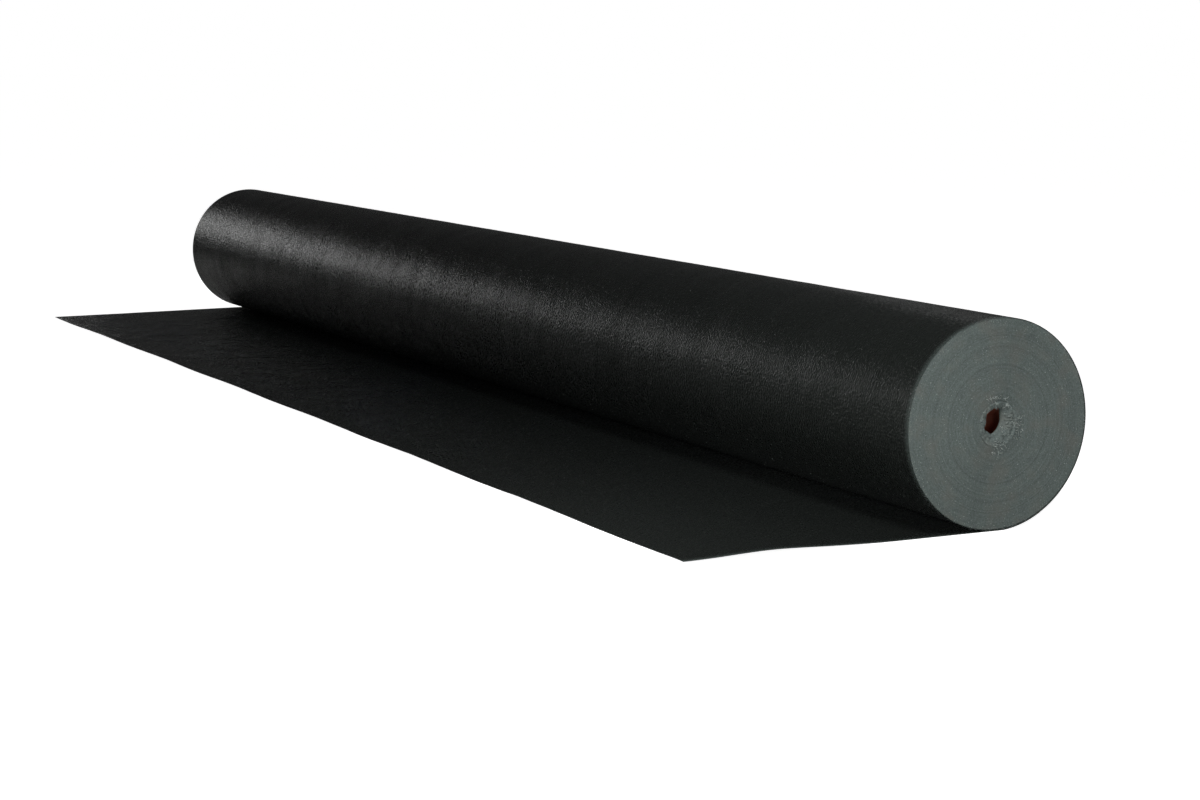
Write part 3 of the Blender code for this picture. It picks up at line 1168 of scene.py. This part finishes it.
@dataclass
class CoreMouths:
    """First turns on the core, whose free edges are crushed over the tube's ends."""

    sizes: RollSizes
    near: SqueezedMouth = SqueezedMouth(RollEnd.NEAR, half_width=0.0165, half_height=0.0205,
                                        centre_y=-0.0005, centre_rise=0.0015, depth=0.0080,
                                        fold_height=0.0040, tilt=math.radians(20.0),
                                        bulged_share=0.50, unevenness=0.28)
    far: SqueezedMouth = SqueezedMouth(RollEnd.FAR, half_width=0.0235, half_height=0.0255,
                                       centre_y=0.0030, centre_rise=0.0010, depth=0.0050,
                                       fold_height=0.0015)
    angle_steps: int = 200
    front_steps: int = 22
    edge_steps: int = 5
    back_steps: int = 6
    edge_thickness: float = 0.0040
    edge_overhang: float = 0.0010
    fold_size: float = 0.0060
    crease_share: float = 0.6
    crease_scale: float = 0.8
    pucker_share: float = 0.7
    pucker_scale: float = 2.3
    full_fold_squeeze: float = 0.5
    rim_setback: float = 0.0004
    first_turn_number: float = 104.0
    turns_per_step: float = 0.45
    fibre_squeeze: float = 0.22
    frayed_at: tuple[float, ...] = (0.0, math.radians(78.0), math.pi)
    fray_spread: float = math.radians(27.0)
    fray_margin: float = 0.009
    piece: Piece = field(init=False)

    def squeeze(self, turn_angle: float, mouth: SqueezedMouth) -> float:
        """How far the lip is pushed in, as a share of the first turns' radius."""
        radius = self.sizes.inner_turns_radius
        return math.dist(around(radius, turn_angle), mouth.edge(turn_angle)) / radius

    def fold(self, y: float, z: float, mouth: SqueezedMouth) -> float:
        """Height of the crushed folds at a place on the front.

        Args:
            y: Place across, from the roll's axis.
            z: Place upwards, from the roll's axis.
            mouth: Mouth that the front belongs to.

        Returns:
            Height, from about -1 to 1.
        """
        place = Vector((mouth.end.value, y / self.fold_size, z / self.fold_size))
        crease = 1 - 2 * abs(noise.noise(place * self.crease_scale))
        pucker = noise.noise(place * self.pucker_scale)
        return self.crease_share * crease + self.pucker_share * pucker

    def lip(self, turn_angle: float, mouth: SqueezedMouth) -> list[Point]:
        """Profile of the crushed lip, from the round rim to the tube's end.

        Args:
            turn_angle: Turn angle of the profile.
            mouth: Mouth that the lip closes on.

        Returns:
            Points whose X is a distance from the roll's middle; Y and Z are from its axis.
        """
        sizes = self.sizes
        rim = around(sizes.inner_turns_radius, turn_angle)
        edge = mouth.edge(turn_angle)
        folded = min(self.squeeze(turn_angle, mouth) / self.full_fold_squeeze, 1.0)
        face = sizes.half_width - self.rim_setback
        points = []
        for i in range(self.front_steps + 1):
            share = i / self.front_steps
            y, z = between(rim, edge, share)
            rise = mouth.fold_height * folded * math.sqrt(math.sin(math.pi * share))
            x = face - mouth.depth * share ** 2 + rise * self.fold(y, z, mouth)
            points.append((x, y, z))
        for i in range(1, self.edge_steps + 1):
            share = i / self.edge_steps
            bulge = self.edge_overhang * math.sin(math.pi * share) / mouth.half_width
            y, z = between(edge, (mouth.centre_y, mouth.centre_rise), bulge)
            points.append((face - mouth.depth - self.edge_thickness * share, y, z))
        tube_end = (sizes.half_width - sizes.core_recess + sizes.fit_gap,
                    *around(sizes.inner_turns_bore, turn_angle))
        start = points[-1]
        for i in range(1, self.back_steps + 1):
            points.append(between(start, tube_end, i / self.back_steps))
        return points

    def build(self, finishes: Finishes) -> None:
        """Make the turns with a crushed lip at both ends.

        Args:
            finishes: Materials, of which the slit edges' is used.
        """
        points, quads, turn_numbers = [], [], []
        for i in range(self.angle_steps):
            angle = math.tau * i / self.angle_steps
            near = self.lip(angle, self.near)
            far = [(-x, y, z) for x, y, z in reversed(self.lip(angle, self.far))]
            for j, (x, y, z) in enumerate(near + far):
                points.append((x, y, z + self.sizes.axis_height))
                turn_numbers.append(self.first_turn_number + j * self.turns_per_step
                                    + i / self.angle_steps)
        count = len(points) // self.angle_steps
        for i in range(self.angle_steps):
            row, following = i * count, (i + 1) % self.angle_steps * count
            for j in range(count):
                k = (j + 1) % count
                quads.append((row + j, row + k, following + k, following + j))
        mesh = new_mesh("inner_turns_crushed", points, quads)
        mesh.materials.append(finishes.edges)
        layer = mesh.attributes.new(TURN_NUMBER, "FLOAT", "POINT")
        layer.data.foreach_set("value", turn_numbers)
        self.piece = new_object("inner_turns_crushed", mesh)
        finish_mesh(self.piece)

    def fibre_ground(self, mouth: SqueezedMouth) -> Mesh:
        """Make a copy of the most crushed part of a lip's front, for fibres to stand on.

        Args:
            mouth: Mouth that the lip closes on.

        Returns:
            A mesh whose faces point out of the end face.
        """
        side = mouth.end.value
        points, quads = [], []
        for i in range(self.angle_steps + 1):
            angle = math.tau * i / self.angle_steps
            outside = around(self.sizes.inner_turns_radius + self.fray_margin, angle)
            front = self.lip(angle, mouth)[:self.front_steps - 1]
            for x, y, z in [(front[0][0], *outside)] + front:
                points.append((side * x, y, z + self.sizes.axis_height))
        for i in range(self.angle_steps):
            angle = math.tau * i / self.angle_steps
            off_fray = min(abs(math.remainder(angle - spot, math.tau)) for spot in self.frayed_at)
            if self.squeeze(angle, mouth) < self.fibre_squeeze or off_fray > self.fray_spread:
                continue
            for j in range(self.front_steps - 1):
                first = i * self.front_steps + j
                following = first + self.front_steps
                corners = (first, first + 1, following + 1, following)
                quads.append(corners if side < 0 else corners[::-1])
        return new_mesh("fibre_ground", points, quads)

    def dress(self) -> None:
        """Let the turns ride with the roll."""
        settle(self.piece, Body.ROLL, Slot.EDGES, "inner_turns")


def rim_ground(sizes: RollSizes, end: RollEnd, setback: float = 0.0006,
               steps: int = 180) -> Mesh:
    """Make a narrow flat ring on an end face's rim, for fibres to stand on.

    Args:
        sizes: Sizes of the roll.
        end: Which end of the roll.
        setback: How far the ring lies behind the end face.
        steps: Number of faces round the ring.

    Returns:
        A mesh whose faces point out of the end face.
    """
    side = end.value
    points, quads = [], []
    for i in range(steps):
        for radius in (sizes.body_radius, sizes.axis_height):
            y, z = around(radius, math.tau * i / steps)
            points.append((side * (sizes.half_width - setback), y, z + sizes.axis_height))
        first, following = 2 * i, 2 * (i + 1) % (2 * steps)
        corners = (first, first + 1, following + 1, following)
        quads.append(corners if side < 0 else corners[::-1])
    return new_mesh("rim_ground", points, quads)


@dataclass(frozen=True)
class FibreKind:
    """Closeness, in fibres per square metre, and size of one kind of loose fibre."""

    name: str
    density: float
    length: float
    radius: float  # real filaments are about 0.02 mm thick, too fine to show
    seed: int


MOUTH_FIBRES = FibreKind("mouth_fibres", density=210000.0, length=0.0048, radius=0.00038, seed=11)
RIM_FIBRES = FibreKind("rim_fibres", density=260000.0, length=0.0019, radius=0.00024, seed=5)


@dataclass
class LooseFibres:
    """Short bent fibres that stand out of an end face, scattered by Geometry Nodes."""

    end: RollEnd
    kind: FibreKind
    ground: Mesh
    least_growth: float = 0.35
    most_growth: float = 1.0
    lean: float = 1.2
    knee_share: float = 0.4
    bend_steps: int = 3
    sides: int = 3
    tuft_size: float = 0.008
    bare_share: float = 0.50
    full_share: float = 0.60
    piece: Piece = field(init=False)

    def build(self, finishes: Finishes) -> None:
        """Plant the fibres on their ground.

        Args:
            finishes: Materials, of which the fibres' is used.
        """
        name = f"{self.end.name.lower()}_{self.kind.name}"
        recipe = GeometryRecipe(name)
        tree = recipe.tree
        seed = recipe.size("Seed", self.kind.seed)
        length = recipe.size("Fibre length", self.kind.length)
        tufts = add_node(tree, "ShaderNodeTexNoise", inputs={
            "Scale": recipe.size("Tufts per metre", 1 / self.tuft_size), "Detail": 1.0})
        density = add_node(tree, "ShaderNodeMapRange", inputs={
            "Value": tufts, "From Min": self.bare_share, "From Max": self.full_share,
            "To Max": recipe.size("Fibres per square metre", self.kind.density)})
        spots = add_node(tree, "GeometryNodeDistributePointsOnFaces", inputs={
            "Mesh": recipe.group_input, "Density": density, "Seed": seed})
        bend = add_node(tree, "ShaderNodeMath", MULTIPLY,
                        {0: length, 1: recipe.size("Knee share", self.knee_share)})
        knee = add_node(tree, "ShaderNodeCombineXYZ", inputs={"X": bend, "Z": bend})
        tip = add_node(tree, "ShaderNodeCombineXYZ", inputs={"Z": length})
        strand = add_node(tree, "GeometryNodeCurveQuadraticBezier", inputs={
            "Resolution": self.bend_steps, "Start": (0.0, 0.0, 0.0), "Middle": knee,
            "End": tip})
        ring = add_node(tree, "GeometryNodeCurvePrimitiveCircle", inputs={
            "Resolution": self.sides, "Radius": recipe.size("Fibre radius", self.kind.radius)})
        rod = add_node(tree, "GeometryNodeCurveToMesh", inputs={
            "Curve": strand, "Profile Curve": ring, "Fill Caps": True})
        tilt = add_node(tree, "FunctionNodeRandomValue", {"data_type": "FLOAT_VECTOR"}, {
            0: (-self.lean, -self.lean, -math.pi), 1: (self.lean, self.lean, math.pi),
            "Seed": seed})
        turned = add_node(tree, "FunctionNodeRotateRotation", {"rotation_space": "LOCAL"},
                          {0: spots.outputs["Rotation"], 1: tilt})
        growth = add_node(tree, "FunctionNodeRandomValue", inputs={
            2: self.least_growth, 3: self.most_growth, "Seed": seed})
        planted = add_node(tree, "GeometryNodeInstanceOnPoints", inputs={
            "Points": spots, "Instance": rod, "Rotation": turned, "Scale": growth})
        self.piece = recipe.make(name, planted, finishes.fibre, self.ground)

    def dress(self) -> None:
        """Let the fibres ride with the roll."""
        settle(self.piece, Body.ROLL, Slot.EDGES)


@dataclass(frozen=True)
class SoftLamp:
    """A soft rectangular lamp."""

    name: str
    centre: Point
    aim: Point
    width: float
    height: float
    power: float

    def build(self) -> None:
        """Add the lamp, aimed at its point."""
        lamp = bpy.data.lights.new(self.name, "AREA")
        lamp.shape = "RECTANGLE"
        lamp.size = self.width
        lamp.size_y = self.height
        lamp.energy = self.power
        holder = new_object(self.name, lamp)
        holder.location = self.centre
        direction = Vector(self.aim) - Vector(self.centre)
        holder.rotation_euler = direction.to_track_quat("-Z", "Y").to_euler()
        holder.visible_camera = False


@dataclass
class Surroundings:
    """Plain pale floor, soft lamps and a dim even sky, which the camera sees white."""

    floor_size: float = 80.0
    floor_drop: float = 0.0004
    sky_strength: float = 0.055
    lamps: tuple[SoftLamp, ...] = (
        SoftLamp("far_end_light", (-2.6, -0.47, 0.5), (-1.2, 0.0, 0.2), 0.40, 0.35, 2.2),
        SoftLamp("near_front_light", (2.1, -0.5, 1.1), (1.4, -0.1, 0.1), 0.3, 0.3, 11.0),
        SoftLamp("near_low_light", (0.3, -0.65, 0.38), (1.4, -0.1, 0.2), 0.16, 0.12, 0.42),
        SoftLamp("near_foot_light", (1.45, -0.85, 0.3), (1.5, -0.2, 0.0), 0.3, 0.2, 2.4),
        SoftLamp("low_front_light", (4.9, -1.2, 0.4), (1.6, 0.0, 0.15), 0.8, 0.5, 24.0),
        SoftLamp("near_back_light", (2.8, 1.0, 0.25), (1.6, 0.0, 0.1), 0.6, 0.4, 0.8),
        SoftLamp("top_edge_light", (-1.0, 1.6, 0.93), (1.5, 0.0, 0.29), 0.4, 0.4, 0.2),
        SoftLamp("far_face_light", (-2.3, 0.5, 0.1), (-1.6, 0.0, 0.15), 0.2, 0.12, 3.6),
        SoftLamp("back_light", (0.8, 3.8, 1.2), (0.0, 0.0, 0.15), 2.0, 1.2, 20.0),
    )

    def build(self) -> None:
        """Make the floor, the lamps and the sky."""
        half = self.floor_size / 2
        corners = [(x, y, -self.floor_drop) for x, y in
                   ((-half, -half), (half, -half), (half, half), (-half, half))]
        mesh = new_mesh("floor", corners, [(0, 1, 2, 3)])
        mesh.materials.append(PaleGround().build())
        new_object("floor", mesh)
        for lamp in self.lamps:
            lamp.build()
        self.build_sky()

    def build_sky(self) -> None:
        """Light evenly and dimly, and show white to the camera.

        Is Glossy Ray and Is Transmission Ray aren't added here. The object has no metal and no
        glass, and a white sky in its gloss would turn the black web pale at a low angle.
        """
        world = bpy.data.worlds.new("plain_sky")
        world.use_nodes = True
        tree = world.node_tree
        tree.nodes.clear()
        path = add_node(tree, "ShaderNodeLightPath")
        dim = add_node(tree, "ShaderNodeBackground",
                       inputs={"Color": WHITE, "Strength": self.sky_strength})
        white = add_node(tree, "ShaderNodeBackground", inputs={"Color": WHITE, "Strength": 1.0})
        seen = add_node(tree, "ShaderNodeMixShader",
                        inputs={0: path.outputs["Is Camera Ray"], 1: dim, 2: white})
        add_node(tree, "ShaderNodeOutputWorld", inputs={"Surface": seen})
        bpy.context.scene.world = world


@dataclass
class PhotoCamera:
    """Camera at the photograph's viewing angle."""

    azimuth: float = math.radians(63.31)
    elevation: float = math.radians(8.31)
    roll: float = math.radians(0.21)
    distance: float = 4.467
    target: Point = (0.3789, 0.0, 0.0217)
    lens: float = 73.47
    sensor: float = 36.0
    clip_end: float = 200.0

    def build(self) -> None:
        """Place the camera and make it the scene's own."""
        flat = math.cos(self.elevation)
        back = Vector((math.sin(self.azimuth) * flat, -math.cos(self.azimuth) * flat,
                       math.sin(self.elevation)))
        right = (-back).cross(Vector((0, 0, 1))).normalized()
        up = right.cross(-back)
        turned_right = right * math.cos(self.roll) + up * math.sin(self.roll)
        turned_up = up * math.cos(self.roll) - right * math.sin(self.roll)
        camera = bpy.data.cameras.new("photo_camera")
        camera.sensor_width = self.sensor
        camera.lens = self.lens
        camera.clip_end = self.clip_end
        holder = new_object("photo_camera", camera)
        turn = Matrix((turned_right, turned_up, back)).transposed()
        place = Matrix.Translation(Vector(self.target) + back * self.distance)
        holder.matrix_world = place @ turn.to_4x4()
        bpy.context.scene.camera = holder


@dataclass
class Core:
    """Core tube and the strip of tape on it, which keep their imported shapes."""

    sizes: RollSizes

    def dress(self) -> None:
        """Give both rigid pieces their finishes."""
        for node, finish in (("core_tube", CoreBoard(self.sizes)),
                             ("core_start_tape", TapeFilm())):
            material = finish.build()
            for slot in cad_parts[node].material_slots:
                slot.material = material


def main() -> None:
    """Build every piece, dress it and set the scene round it."""
    logging.basicConfig(level=logging.INFO, format="%(name)s: %(message)s")
    sizes = RollSizes()
    PhotoCamera().build()
    Surroundings().build()
    finishes = Finishes(SpunbondFace(sizes).build(), SlitEdges().build(), LooseFibre().build())
    mouths = CoreMouths(sizes)
    parts = [WoundBody(sizes), mouths, LaidWeb(sizes), LeadOff(sizes), OuterTurn(sizes)]
    for mouth in (mouths.near, mouths.far):
        parts.append(LooseFibres(mouth.end, MOUTH_FIBRES, mouths.fibre_ground(mouth)))
        parts.append(LooseFibres(mouth.end, RIM_FIBRES, rim_ground(sizes, mouth.end)))
    for part in parts:
        part.build(finishes)
        part.dress()
        log.info("%s: %d faces", part.piece.name, len(part.piece.data.polygons))
    Core(sizes).dress()
    bpy.context.scene.view_settings.view_transform = "Standard"


if __name__ == "__main__":
    main()
